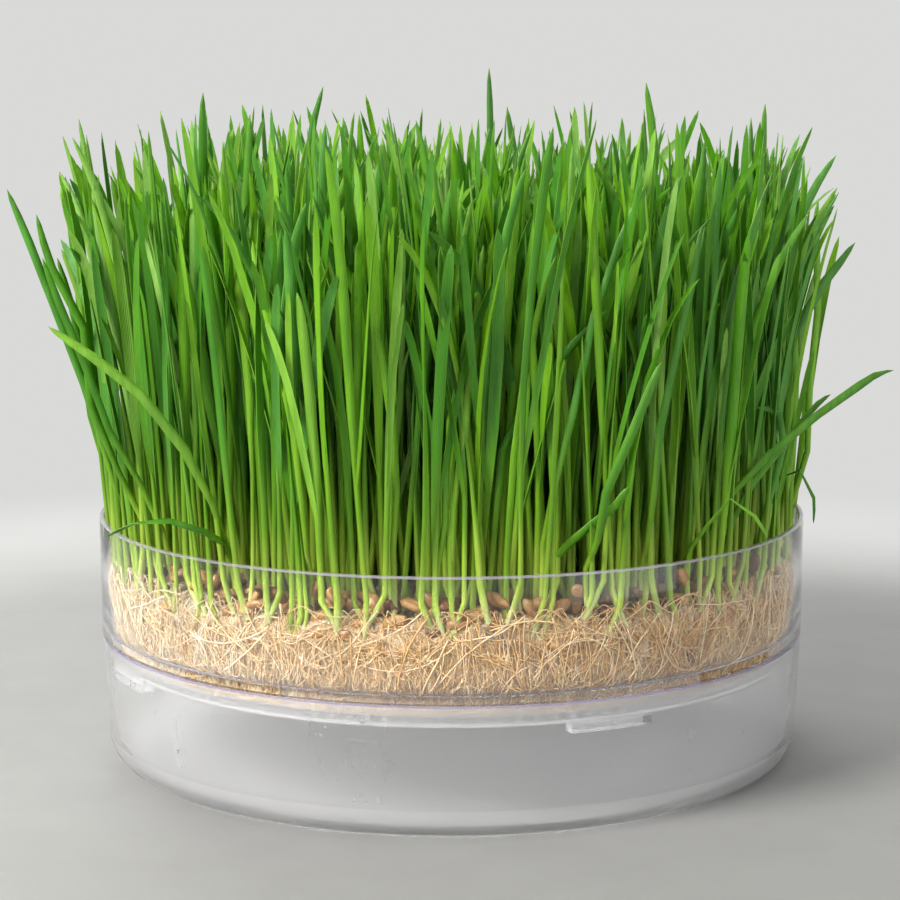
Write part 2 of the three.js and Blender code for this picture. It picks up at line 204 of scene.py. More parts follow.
def mixColour(tree, factor, first, second, blend="MIX"):
    mix = tree.nodes.new("ShaderNodeMix")
    mix.data_type = "RGBA"
    mix.blend_type = blend
    for value, socket in ((factor, mix.inputs[0]), (first, mix.inputs[6]), (second, mix.inputs[7])):
        if isinstance(value, bpy.types.NodeSocket):
            tree.links.new(value, socket)
        else:
            socket.default_value = value if isinstance(value, (int, float)) else (*value, 1)
    return mix.outputs[2]


def attributeOf(tree, name):
    node = tree.nodes.new("ShaderNodeAttribute")
    node.attribute_name = name
    return node.outputs["Fac"]


def objectPlace(tree):
    return tree.nodes.new("ShaderNodeTexCoord").outputs["Object"]


def placeGroup(tree, group, **values):  # values: numbers, or sockets to link
    node = tree.nodes.new("ShaderNodeGroup")
    node.node_tree = group
    for key, value in values.items():
        socket = node.inputs[key]
        if isinstance(value, bpy.types.NodeSocket):
            tree.links.new(value, socket)
        else:
            socket.default_value = value
    return node


def bumpFrom(tree, height, shader, distance, strength=1.0):
    bump = tree.nodes.new("ShaderNodeBump")
    bump.inputs["Strength"].default_value = strength
    bump.inputs["Distance"].default_value = distance
    tree.links.new(height, bump.inputs["Height"])
    tree.links.new(bump.outputs["Normal"], shader.inputs["Normal"])


def makeMottleGroup():  # blotches with finer grain in them, for roots, kernels and mist
    group = bpy.data.node_groups.new("mottle", "ShaderNodeTree")
    group.interface.new_socket("Place", in_out="INPUT", socket_type="NodeSocketVector")
    group.interface.new_socket("Scale", in_out="INPUT", socket_type="NodeSocketFloat")
    group.interface.new_socket("Upright", in_out="INPUT", socket_type="NodeSocketFloat")
    group.interface.new_socket("Low", in_out="INPUT", socket_type="NodeSocketFloat")
    group.interface.new_socket("High", in_out="INPUT", socket_type="NodeSocketFloat")
    group.interface.new_socket("Mask", in_out="OUTPUT", socket_type="NodeSocketFloat")
    start = group.nodes.new("NodeGroupInput")
    end = group.nodes.new("NodeGroupOutput")
    stretch = group.nodes.new("ShaderNodeCombineXYZ")
    stretch.inputs[0].default_value = stretch.inputs[1].default_value = 1
    scaled = group.nodes.new("ShaderNodeVectorMath")
    scaled.operation = "MULTIPLY"
    grain = addNode(group, "ShaderNodeTexNoise", Detail=5.0, Roughness=0.62)
    span = group.nodes.new("ShaderNodeMapRange")
    span.interpolation_type = "SMOOTHSTEP"
    link = group.links.new
    link(start.outputs["Upright"], stretch.inputs[2])
    link(start.outputs["Place"], scaled.inputs[0])
    link(stretch.outputs[0], scaled.inputs[1])
    link(scaled.outputs[0], grain.inputs["Vector"])
    link(start.outputs["Scale"], grain.inputs["Scale"])
    link(grain.outputs["Fac"], span.inputs["Value"])
    link(start.outputs["Low"], span.inputs["From Min"])
    link(start.outputs["High"], span.inputs["From Max"])
    link(span.outputs["Result"], end.inputs["Mask"])
    return group


mottle = makeMottleGroup()


def clearPlastic(name, tint, roughness, bend=1.05, mist=0.0, milk=0.0, fog=None):
    # bend: how much light turns in it; mist: how rough beads of damp make it at most; milk: how white it is;
    # fog: the heights between which more white fades out, and how much
    material, tree, shader, out = newMaterial(name)
    shader.inputs["Base Color"].default_value = (*tint, 1)
    shader.inputs["Transmission Weight"].default_value = 1 - milk
    shader.inputs["IOR"].default_value = bend
    shader.inputs["Roughness"].default_value = roughness
    shader.inputs["Coat Weight"].default_value = 0.8
    shader.inputs["Coat Roughness"].default_value = 0.04
    if mist:
        damp = placeGroup(tree, mottle, Place=objectPlace(tree), Scale=28.0, Upright=0.5, Low=0.32, High=0.68)
        span = addNode(tree, "ShaderNodeMapRange", **{"To Min": roughness, "To Max": mist})
        tree.links.new(damp.outputs["Mask"], span.inputs["Value"])
        tree.links.new(span.outputs["Result"], shader.inputs["Roughness"])
        beads = addNode(tree, "ShaderNodeTexVoronoi", Scale=1100.0)
        tree.links.new(objectPlace(tree), beads.inputs["Vector"])
        bumpFrom(tree, beads.outputs["Distance"], shader, 0.00005, 0.35)
    if fog:
        height = tree.nodes.new("ShaderNodeSeparateXYZ")
        tree.links.new(objectPlace(tree), height.inputs[0])
        fades = addNode(tree, "ShaderNodeMapRange", **{"From Min": fog[0], "From Max": fog[1], "To Min": 1 - milk - fog[2],
                                                        "To Max": 1 - milk})
        tree.links.new(height.outputs["Z"], fades.inputs["Value"])
        tree.links.new(fades.outputs["Result"], shader.inputs["Transmission Weight"])
    seeThrough = tree.nodes.new("ShaderNodeBsdfTransparent")  # light passes to what is inside
    seeThrough.inputs["Color"].default_value = (0.96, 0.96, 0.97, 1)
    rays = tree.nodes.new("ShaderNodeLightPath")
    both = tree.nodes.new("ShaderNodeMixShader")
    tree.links.new(rays.outputs["Is Shadow Ray"], both.inputs["Fac"])
    tree.links.new(shader.outputs["BSDF"], both.inputs[1])
    tree.links.new(seeThrough.outputs["BSDF"], both.inputs[2])
    tree.links.new(both.outputs["Shader"], out.inputs["Surface"])
    return material


# Camera, floor and light

cameraFacts = {"place": (-0.2, -648, 178.6), "down": 0.156, "roll": 0.0014, "lens": 102.04}
floorFacts = {"near": (0.306, 0.306, 0.30), "far": (0.70, 0.70, 0.69), "fadeFrom": 0.20, "fadeTo": 0.42}
lightFacts = {
    "sky": (0.70, 0.70, 0.69), "skyStrength": 1.0,
    "key": {"place": (-0.8, -0.6, 0.8), "size": 0.5, "power": 19.5, "colour": (1, 0.985, 0.95)},
    "fill": {"place": (0.95, -0.7, 0.3), "size": 0.8, "power": 3.6, "colour": (0.97, 0.98, 1)},
    "back": {"place": (-0.3, 0.7, 0.9), "size": 0.6, "power": 6, "colour": (1, 1, 1)},
}


def addCamera():
    data = bpy.data.cameras.new("camera")
    data.lens = cameraFacts["lens"]
    data.sensor_width = 36
    data.clip_start, data.clip_end = 0.01, 20
    camera = bpy.data.objects.new("camera", data)
    camera.location = Vector(cameraFacts["place"]) * mm
    camera.rotation_euler = (math.pi / 2 - cameraFacts["down"], cameraFacts["roll"], 0)
    bpy.context.collection.objects.link(camera)
    bpy.context.scene.camera = camera


def floorPaint():
    material, tree, shader, out = newMaterial("floorPaint")
    place = objectPlace(tree)
    length = tree.nodes.new("ShaderNodeVectorMath")
    length.operation = "LENGTH"
    tree.links.new(place, length.inputs[0])
    fade = addNode(tree, "ShaderNodeMapRange", interpolation_type="SMOOTHSTEP",
                   **{"From Min": floorFacts["fadeFrom"], "From Max": floorFacts["fadeTo"]})
    tree.links.new(length.outputs["Value"], fade.inputs["Value"])
    grain = placeGroup(tree, mottle, Place=place, Scale=35.0, Upright=1.0, Low=0.3, High=0.7)
    base = mixColour(tree, fade.outputs["Result"], floorFacts["near"], floorFacts["far"])
    dark = mixColour(tree, 0.06, (1, 1, 1), grain.outputs["Mask"])
    tree.links.new(mixColour(tree, 1.0, base, dark, "MULTIPLY"), shader.inputs["Base Color"])
    shader.inputs["Roughness"].default_value = 0.65
    glow = tree.nodes.new("ShaderNodeEmission")  # far off the floor is as pale as the backdrop
    glow.inputs["Color"].default_value = (*floorFacts["far"], 1)
    both = tree.nodes.new("ShaderNodeMixShader")
    tree.links.new(fade.outputs["Result"], both.inputs["Fac"])
    tree.links.new(shader.outputs["BSDF"], both.inputs[1])
    tree.links.new(glow.outputs["Emission"], both.inputs[2])
    tree.links.new(both.outputs["Shader"], out.inputs["Surface"])
    return material


def addFloor():
    clearPick()
    bpy.ops.mesh.primitive_plane_add(size=12, location=(0, 0, -0.0001))
    floor = nameNew("floor")
    bpy.ops.object.transform_apply(location=True)
    floor.data.materials.append(floorPaint())


def addLights():
    world = bpy.data.worlds.new("softSky")
    bpy.context.scene.world = world
    world.use_nodes = True
    sky = world.node_tree.nodes["Background"]
    sky.inputs["Color"].default_value = (*lightFacts["sky"], 1)
    sky.inputs["Strength"].default_value = lightFacts["skyStrength"]
    for name in ("key", "fill", "back"):
        facts = lightFacts[name]
        data = bpy.data.lights.new(name, "AREA")
        data.size, data.energy, data.color = facts["size"], facts["power"], facts["colour"]
        lamp = bpy.data.objects.new(name, data)
        lamp.location = facts["place"]
        lamp.rotation_euler = (Vector((0, 0, 0.08)) - lamp.location).to_track_quat("-Z", "Y").to_euler()
        bpy.context.collection.objects.link(lamp)


addCamera()
addFloor()
addLights()
bpy.context.scene.view_settings.view_transform = "Standard"
print("camera, floor and light are in place")


# Lower tray

lowerFacts = {
    "around": 160,
    "outside": [(82.3, 0), (84.4, 0.3), (86.2, 1.3), (87.6, 3.0), (88.4, 5.1), (88.7, 7.4), (89.2, 18), (89.85, 31.2)],
    "rim": [(89.8, 31.75), (89.45, 32), (88.85, 32), (88.5, 31.7)],
    "inside": [(88.2, 26.55), (88.05, 24.4), (87.5, 15), (87.1, 8.4), (86.4, 5.8), (85.2, 3.9), (83.6, 2.4), (81.6, 1.8)],
    "lugs": 4, "firstLug": -66, "lugArc": 14, "lugDepth": 3.4,
    "tint": (0.975, 0.98, 0.99), "mistTint": (0.94, 0.94, 0.94), "rimTint": (0.34, 0.32, 0.50),
}

plasticOutside = clearPlastic("trayPlastic", lowerFacts["tint"], 0.03)
plasticMisted = clearPlastic("mistedPlastic", lowerFacts["mistTint"], 0.25, mist=0.5, milk=0.13)
plasticFoot = clearPlastic("footPlastic", lowerFacts["mistTint"], 0.3, milk=0.12)
# painted light: the violet line that the clear rim edge shows by bending light is painted in as a tint and milkiness
plasticRim = clearPlastic("rimPlastic", lowerFacts["rimTint"], 0.08, bend=1.1, milk=0.5)
plasticFrosted = clearPlastic("frostedPlastic", (0.9, 0.9, 0.91), 0.3, milk=0.35)


def makeLowerTray():
    facts = lowerFacts
    tray = turnedPiece("lowerTray", facts["outside"] + facts["rim"] + facts["inside"], facts["around"])

    def isLug(middle, normal):
        inward = normal.x * middle.x + normal.y * middle.y < 0
        return inward and 24.4 < middle.z < 26.55 and nearArc(middle, facts["firstLug"], facts["lugArc"], facts["lugs"])

    pushInwards(tray, isLug, 88, facts["lugDepth"])
    rideAs(tray, "lower_tray", "lower_tray", plasticOutside, plasticMisted, plasticRim, plasticFrosted, plasticFoot)
    for face in tray.data.polygons:
        middle = face.center / mm
        radius = math.hypot(middle.x, middle.y)
        inward = face.normal.x * middle.x + face.normal.y * middle.y < 0
        if middle.z > 31.8:
            face.material_index = 2
        elif middle.z < 7.4 and radius > 84:
            face.material_index = 4
        elif 24.3 < middle.z < 26.7 and radius < 87.9 and nearArc(middle, facts["firstLug"], facts["lugArc"] + 1, facts["lugs"]):
            face.material_index = 3
        elif inward or (radius < 84 and middle.z > 1.5):
            face.material_index = 1
    smoothByAngle(tray, 40)
    return tray


makeLowerTray()
print("lower tray is made")


# Upper tray

upperFacts = {
    "around": 160,
    "skirt": [(85.2, 27.0), (85.5, 26.7), (86.0, 26.6), (87.1, 26.6), (87.4, 26.9), (87.5, 31.9), (87.8, 32.3)],
    "wall": [(89.7, 32.3), (90, 32.6), (90, 34.5), (90, 48), (90, 61.5)],
    "rim": [(89.85, 61.9), (89.5, 62.0), (88.85, 62.0), (88.5, 61.85)],
    "inside": [(88.4, 61.4), (88.4, 48), (88.4, 34.8), (88.1, 34.2), (86.2, 33.8), (85.85, 33.4), (85.8, 29.2), (85.4, 28.7)],
    "keys": 4, "firstKey": -127, "keyArc": 22, "keyDepth": 1.2,
    "slotRings": [(120, 80.2, 83.4, 1.7), (40, 55, 70, 1.5), (20, 24, 44, 1.5)],
    "rimTint": (0.60, 0.56, 0.64), "stepTint": (0.62, 0.61, 0.68),
}

# painted light: the grey-mauve band along the rim and the grey line at the inner step, which the clear edges show by
# bending light, are painted in as tints and milkiness
plasticTopRim = clearPlastic("topRimPlastic", upperFacts["rimTint"], 0.15, bend=1.15, milk=0.35)
plasticStep = clearPlastic("stepPlastic", upperFacts["stepTint"], 0.1, bend=1.2, milk=0.2)
plasticDamp = clearPlastic("dampPlastic", lowerFacts["tint"], 0.03, mist=0.1, fog=(0.035, 0.044, 0.08))
plasticHaze = clearPlastic("hazePlastic", lowerFacts["mistTint"], 0.2, milk=0.16)


def slotCutter():  # one bar for each slot of the floor, all in one mesh
    bars = []
    for count, inner, outer, width in upperFacts["slotRings"]:
        for i in range(count):
            turn = (i + 0.5) / count * 2 * math.pi
            clearPick()
            middle = (inner + outer) / 2
            bpy.ops.mesh.primitive_cube_add(
                size=1, location=(middle * math.cos(turn) * mm, middle * math.sin(turn) * mm, 0.0278),
                rotation=(0, 0, turn), scale=((outer - inner) * mm, width * mm, 0.006))
            bars.append(nameNew("slotBar"))
    clearPick()
    for bar in bars:
        bar.select_set(True)
    bpy.context.view_layer.objects.active = bars[0]
    bpy.ops.object.join()
    return bpy.context.object


def makeUpperTray():
    facts = upperFacts
    rings = facts["skirt"] + facts["wall"] + facts["rim"] + facts["inside"]
    tray = turnedPiece("upperTray", rings, facts["around"])

    def isKey(middle, normal):
        inward = normal.x * middle.x + normal.y * middle.y < 0
        return inward and 29.3 < middle.z < 33.3 and nearArc(middle, facts["firstKey"], facts["keyArc"], facts["keys"])

    pushInwards(tray, isKey, 85.8, facts["keyDepth"])
    cutter = slotCutter()
    applyModifier(tray, "BOOLEAN", object=cutter, operation="DIFFERENCE", solver="EXACT")
    bpy.data.objects.remove(cutter)
    rideAs(tray, "upper_tray", "upper_tray", plasticOutside, plasticTopRim, plasticStep, plasticDamp, plasticHaze)
    for face in tray.data.polygons:
        middle = face.center / mm
        inward = face.normal.x * middle.x + face.normal.y * middle.y < 0
        if middle.z > 61.6:
            face.material_index = 1
        elif 33.5 < middle.z < 34.7 and inward:
            face.material_index = 2
        elif inward and middle.z > 34.7:
            face.material_index = 3
        elif middle.z < 31.5:
            face.material_index = 4
    smoothByAngle(tray, 40)
    return tray


makeUpperTray()
print("upper tray is made")


# Root mat

matFacts = {
    "around": 300,
    "side": [(83.4, 29.0), (84.4, 29.6), (84.5, 31.2), (84.5, 32.4), (84.7, 33.6), (86.6, 34.7), (87.1, 36.5), (87.1, 38.5),
             (87.1, 40.5), (87.1, 42.5), (87.1, 44.5), (87.0, 46.5), (86.7, 48.5), (85.4, 50.2), (81.0, 51.0), (70.0, 51.2)],
    "deep": (0.46, 0.23, 0.06), "felt": (0.72, 0.50, 0.24), "pale": (0.86, 0.74, 0.54), "wet": (0.30, 0.28, 0.26),
    # skirtPale and skirtTan: the roots' tone under the shoulder, raised to paint light into the shade there
    "skirtPale": (0.90, 0.88, 0.82), "skirtTan": (0.95, 0.74, 0.45),
}


def leftToRight(tree):  # 0 on the pale side of the tray, 1 on the browner side
    place = tree.nodes.new("ShaderNodeSeparateXYZ")
    tree.links.new(objectPlace(tree), place.inputs[0])
    node = addNode(tree, "ShaderNodeMapRange", interpolation_type="SMOOTHSTEP", **{"From Min": -0.09, "From Max": 0.0})
    tree.links.new(place.outputs["X"], node.inputs["Value"])
    return node.outputs["Result"]


def feltMaterial():
    material, tree, shader, _ = newMaterial("rootFelt")
    place = objectPlace(tree)
    threads = placeGroup(tree, mottle, Place=place, Scale=900.0, Upright=0.16, Low=0.36, High=0.62)
    patches = placeGroup(tree, mottle, Place=place, Scale=130.0, Upright=0.7, Low=0.42, High=0.62)
    wet = placeGroup(tree, mottle, Place=place, Scale=38.0, Upright=0.8, Low=0.54, High=0.66)
    felt = mixColour(tree, threads.outputs["Mask"], matFacts["deep"], matFacts["pale"])
    felt = mixColour(tree, patches.outputs["Mask"], felt, matFacts["felt"])
    felt = mixColour(tree, leftToRight(tree), mixColour(tree, 0.72, felt, matFacts["pale"]), felt)
    height = tree.nodes.new("ShaderNodeSeparateXYZ")
    tree.links.new(place, height.inputs[0])
    upper = addNode(tree, "ShaderNodeMapRange", **{"From Min": 0.040, "From Max": 0.047})
    tree.links.new(height.outputs["Z"], upper.inputs["Value"])
    both = tree.nodes.new("ShaderNodeMath")
    both.operation = "MULTIPLY"
    tree.links.new(upper.outputs["Result"], both.inputs[0])
    tree.links.new(wet.outputs["Mask"], both.inputs[1])
    felt = mixColour(tree, both.outputs[0], felt, matFacts["wet"])
    # Below about 33 mm, under the upper tray's shoulder, the felt turns pale on the left and tan on the right: partly
    # the roots' own tone, partly painted light that lifts the shade the shoulder casts.
    skirt = addNode(tree, "ShaderNodeMapRange", **{"From Min": 0.0335, "From Max": 0.033})
    tree.links.new(height.outputs["Z"], skirt.inputs["Value"])
    skirtColourAndPaintedLight = mixColour(tree, leftToRight(tree), matFacts["skirtPale"], matFacts["skirtTan"])
    skirtColourAndPaintedLight = mixColour(tree, threads.outputs["Mask"], skirtColourAndPaintedLight, felt)
    tree.links.new(mixColour(tree, skirt.outputs["Result"], felt, skirtColourAndPaintedLight), shader.inputs["Base Color"])
    shader.inputs["Roughness"].default_value = 0.7
    bumpFrom(tree, threads.outputs["Mask"], shader, 0.0006)
    return material


def makeRootMat():
    mat = turnedPiece("rootMat", matFacts["side"], matFacts["around"])
    for corner in mat.data.vertices:
        point = corner.co
        radius = math.hypot(point.x, point.y)
        if radius < 0.06 or point.z < 0.0295:
            continue
        spot = Vector((point.x * 260, point.y * 260, point.z * 90))
        dent = 0.0011 * max(0.0, noise.noise(spot) + 0.15) + 0.0004 * noise.noise(spot * 3.1)
        point.x *= 1 - max(dent, 0) / radius
        point.y *= 1 - max(dent, 0) / radius
    rideAs(mat, "root_mat", "roots", feltMaterial())
    smoothByAngle(mat, 60)


makeRootMat()
print("root mat is made")


# Roots on the mat's side

rootFacts = {
    "combed": {"count": 2700, "thick": 0.12, "spread": 0.14, "curl": 0.05, "waver": 0.1, "step": (0.8, 1.7), "top": 47.5},
    "tangled": {"count": 2600, "thick": 0.12, "spread": 3, "curl": 0.22, "waver": 0.16, "step": (1.0, 2.6), "top": 51},
    "single": {"count": 520, "thick": 0.15, "spread": 0.75, "curl": 0.07, "waver": 0.07, "step": (1.6, 2.8), "top": 54},
    "steps": 9, "cream": (0.78, 0.65, 0.46), "bright": (0.88, 0.63, 0.32), "tan": (0.60, 0.32, 0.09),
}


def tubeTemplate(sides, steps):  # an upright tube of unit size, with its rings at whole heights
    rings = [(1.0, i) for i in range(steps + 1)]
    clearPick()
    bpy.ops.mesh.primitive_circle_add(vertices=sides, radius=1, fill_type="NGON")
    piece = nameNew("tube")
    bpy.ops.object.mode_set(mode="EDIT")
    bpy.ops.mesh.select_mode(type="EDGE")
    bpy.ops.mesh.select_all(action="SELECT")
    bpy.ops.mesh.region_to_loop()
    for _ in rings[1:]:
        bpy.ops.mesh.extrude_edges_move(TRANSFORM_OT_translate={"value": (0, 0, 1)})
    bpy.ops.mesh.edge_face_add()
    bpy.ops.mesh.select_all(action="SELECT")
    bpy.ops.mesh.normals_make_consistent(inside=False)
    bpy.ops.object.mode_set(mode="OBJECT")
    return templateData(piece)


def unit(vectors):
    return vectors / np.maximum(np.linalg.norm(vectors, axis=-1, keepdims=True), 1e-12)


def bendCopies(corners, axes, sides, halfWidth, halfThick, fold):
    # corners: template points; axes, sides: copies x rings x 3; the rest: copies x rings
    ring = np.rint(corners[:, 2]).astype(int)
    ahead = unit(np.gradient(axes, axis=1))
    sides = unit(sides - ahead * np.sum(sides * ahead, axis=-1, keepdims=True))
    back = np.cross(ahead, sides)
    across = corners[:, 0][None, :, None]
    deep = corners[:, 1][None, :, None]
    lift = np.abs(corners[:, 0])[None, :, None] * fold[:, ring, None]
    return (axes[:, ring] + sides[:, ring] * across * halfWidth[:, ring, None]
            + back[:, ring] * (deep * halfThick[:, ring, None] + lift))


def rootMaterial():
    material, tree, shader, _ = newMaterial("rootThreads")
    grain = placeGroup(tree, mottle, Place=objectPlace(tree), Scale=300.0, Upright=1.0, Low=0.35, High=0.65)
    tint = attributeOf(tree, "tint")
    facts = rootFacts
    pale = addRamp(tree, tint, [(0.0, facts["bright"]), (0.4, facts["cream"]), (1.0, (0.95, 0.90, 0.76))])
    brown = addRamp(tree, tint, [(0.0, facts["tan"]), (0.5, facts["bright"]), (1.0, (0.93, 0.79, 0.54))])
    colour = mixColour(tree, leftToRight(tree), pale, brown)
    dull = mixColour(tree, grain.outputs["Mask"], (0.85, 0.78, 0.68), (1, 1, 1))
    tree.links.new(mixColour(tree, 1.0, colour, dull, "MULTIPLY"), shader.inputs["Base Color"])
    shader.inputs["Roughness"].default_value = 0.5
    return material


def makeRoots(sort, seed, skin):
    dice = random.Random(seed)
    facts = rootFacts[sort]
    steps = rootFacts["steps"] + 1
    corners, faces = tubeTemplate(3, rootFacts["steps"])
    axes = np.zeros((facts["count"], steps, 3))
    tints = np.zeros(facts["count"])
    for i in range(facts["count"]):
        turn = dice.uniform(-math.pi, math.pi)
        place = math.cos(turn) + 0.8 * noise.noise(Vector((math.cos(turn) * 1.6, math.sin(turn) * 1.6, 4.0)))
        if sort == "combed" and dice.random() < 0.35 + 0.5 * place:  # combed on the left, tangled on the right
            turn = math.pi - turn
        z = dice.uniform(33, facts["top"]) if dice.random() < 0.8 else dice.uniform(30, 35)
        if sort == "single":
            z = dice.uniform(46, facts["top"])
        heading = -math.pi / 2 + dice.gauss(0, facts["spread"])
        curl = dice.gauss(0, facts["curl"])
        step = dice.uniform(*facts["step"])
        depth = dice.uniform(0, 0.3 if sort == "single" else 1.1)
        for n in range(steps):
            room = 88.3 if z > 34.8 else 85.7
            radius = room - 0.25 - depth * 0.6 - (0.9 if z > 47.5 and sort != "single" else 0)
            axes[i, n] = (radius * math.cos(turn), radius * math.sin(turn), z)
            heading += curl + dice.gauss(0, facts["waver"])
            turn += math.cos(heading) * step / radius
            z += math.sin(heading) * step
            if z < 29.0:
                z, heading = 29.0, -heading * 0.5
            if z > 53.5:
                z, heading = 53.5, -heading
            if 33.0 < z < 34.8:
                z = 34.8 if math.sin(heading) > 0 else 33.0
        # painted shade: roots lying further in from the wall get darker tints
        tints[i] = dice.random() * (1 - 0.5 * depth / 1.1)
    axes *= mm
    sides = np.zeros_like(axes)
    sides[..., 2] = 1
    sides[..., 0] = 0.3
    thick = np.full((facts["count"], steps), facts["thick"] * mm)
    thick *= (0.6 + 0.9 * np.array([dice.random() ** 2 for _ in range(facts["count"])]))[:, None]
    thick[:, -1] *= 0.4
    made = bendCopies(corners, axes, sides, thick, thick, np.zeros_like(thick))
    values = {"tint": np.repeat(tints[:, None], len(corners), axis=1)}
    roots = piecesFromCopies(sort + "Roots", made, faces, values)
    rideAs(roots, "root_mat", "roots", skin)


rootSkin = rootMaterial()
makeRoots("combed", 311, rootSkin)
makeRoots("tangled", 57, rootSkin)
makeRoots("single", 9, rootSkin)
print("roots are made")


# Wheat kernels

kernelFacts = {
    "top": 900, "atWall": 170, "inRoots": 60,
    "length": 7.0, "width": 3.6, "height": 3.2,
    "field": 86.0, "topZ": 53.2,
    "pale": (0.62, 0.42, 0.17), "brown": (0.43, 0.22, 0.06), "dark": (0.18, 0.065, 0.015),
}


def kernelTemplate():  # a grain: an oval, creased along one side and narrower at the brush end
    clearPick()
    bpy.ops.mesh.primitive_uv_sphere_add(segments=8, ring_count=6, radius=1, rotation=(0, math.pi / 2, 0))
    piece = nameNew("kernel")
    bpy.ops.object.transform_apply(rotation=True)
    bpy.ops.object.mode_set(mode="EDIT")
    bpy.ops.mesh.select_all(action="SELECT")
    facts = kernelFacts
    bpy.ops.transform.resize(value=(facts["length"] / 2, facts["width"] / 2, facts["height"] / 2))
    bpy.ops.object.mode_set(mode="OBJECT")
    for corner in piece.data.vertices:
        point = corner.co
        point.y *= 1 - 0.05 * point.x
        if abs(point.y) < 0.3 and point.z > 0.6:
            point.z -= 0.5  # the crease
    return templateData(piece)


def kernelMaterial():
    material, tree, shader, _ = newMaterial("kernelSkin")
    place = objectPlace(tree)
    spots = placeGroup(tree, mottle, Place=place, Scale=420.0, Upright=1.0, Low=0.35, High=0.7)
    tint = attributeOf(tree, "tint")
    colour = addRamp(tree, tint, [(0.0, kernelFacts["dark"]), (0.4, kernelFacts["brown"]), (1.0, kernelFacts["pale"])])
    dull = mixColour(tree, spots.outputs["Mask"], (0.55, 0.45, 0.4), (1.1, 1.05, 1))
    tree.links.new(mixColour(tree, 1.0, colour, dull, "MULTIPLY"), shader.inputs["Base Color"])
    shader.inputs["Roughness"].default_value = 0.38
    shader.inputs["Coat Weight"].default_value = 0.25
    bumpFrom(tree, spots.outputs["Mask"], shader, 0.0001)
    return material


def turnMatrix(yaw, pitch, roll):
    cy, sy, cp, sp, cr, sr = (math.cos(yaw), math.sin(yaw), math.cos(pitch), math.sin(pitch), math.cos(roll), math.sin(roll))
    return np.array([[cy * cp, cy * sp * sr - sy * cr, cy * sp * cr + sy * sr],
                     [sy * cp, sy * sp * sr + cy * cr, sy * sp * cr - cy * sr],
                     [-sp, cp * sr, cp * cr]])


def makeKernels():
    dice = random.Random(77)
    corners, faces = kernelTemplate()
    facts = kernelFacts
    golden = math.pi * (3 - math.sqrt(5))
    made, tints = [], []

    def lay(x, y, z, tilt, size, yaw=None):
        yaw = dice.uniform(0, 2 * math.pi) if yaw is None else yaw
        turned = corners @ turnMatrix(yaw, dice.gauss(0, tilt), dice.uniform(0, 2 * math.pi)).T
        made.append(turned * size + np.array([x, y, z]))
        tints.append(min(1, max(0, dice.gauss(0.55, 0.24))))

    for i in range(facts["top"]):
        radius = (facts["field"] - 2.5) * math.sqrt((i + 0.5) / facts["top"])
        turn = i * golden
        lay(radius * math.cos(turn) + dice.gauss(0, 1), radius * math.sin(turn) + dice.gauss(0, 1),
            facts["topZ"] + dice.uniform(-1.6, 1.4), 0.35, dice.uniform(0.82, 1.05))
    for i in range(facts["atWall"]):
        turn = (i + dice.uniform(-0.4, 0.4)) / facts["atWall"] * 2 * math.pi
        radius = dice.uniform(83.0, 85.6)
        lay(radius * math.cos(turn), radius * math.sin(turn), dice.uniform(46.5, 56.5), 0.5, dice.uniform(0.85, 1.08),
            turn + math.pi / 2 + dice.gauss(0, 0.5))
    for i in range(facts["inRoots"]):
        turn = dice.uniform(0, 2 * math.pi)
        lay(86.4 * math.cos(turn), 86.4 * math.sin(turn), dice.uniform(38, 48), 0.6, dice.uniform(0.75, 0.98),
            turn + math.pi / 2 + dice.gauss(0, 0.3))
    made = np.array(made)
    reach = np.hypot(made[..., 0], made[..., 1])
    over = np.maximum(1, reach / 87.9)  # what would cross the wall lies flat against it
    made[..., 0] /= over
    made[..., 1] /= over
    values = {"tint": np.repeat(np.array(tints)[:, None], len(corners), axis=1)}
    kernels = piecesFromCopies("kernels", made * mm, faces, values)
    rideAs(kernels, "sprouted_wheat", "wheat", kernelMaterial())


makeKernels()
print("kernels are made")


# Shoots

shootFacts = {
    "count": 1720, "field": 86.0, "footZ": 51.0, "length": 112.5, "frontOf": -32, "middleOf": 10,
    "sides": {"front": 6, "middle": 6, "back": 4}, "sharp": {"front": 72, "middle": 72, "back": 100},
    "rings": [0, 0.035, 0.085, 0.17, 0.31, 0.49, 0.69, 0.86, 0.93, 0.975, 1.0],
    "stem": 0.76, "blade": (0.95, 1.6), "sheet": 0.12,
    "lean": 0.02, "leftLean": 0.05, "scatter": 0.085, "spread": 98, "strayFacing": 0.35, "strayWidth": 0.8,
}

bladeColours = {
    "root": (0.70, 0.72, 0.34), "sheath": (0.50, 0.66, 0.08), "low": (0.215, 0.445, 0.014),
    "cool": (0.115, 0.40, 0.045), "dark": (0.065, 0.275, 0.006), "mid": (0.13, 0.41, 0.010),
    # rim is the painted highlight along the blade edges
    "sun": (0.22, 0.51, 0.012), "pale": (0.30, 0.57, 0.12), "rim": (0.52, 0.76, 0.12),
}

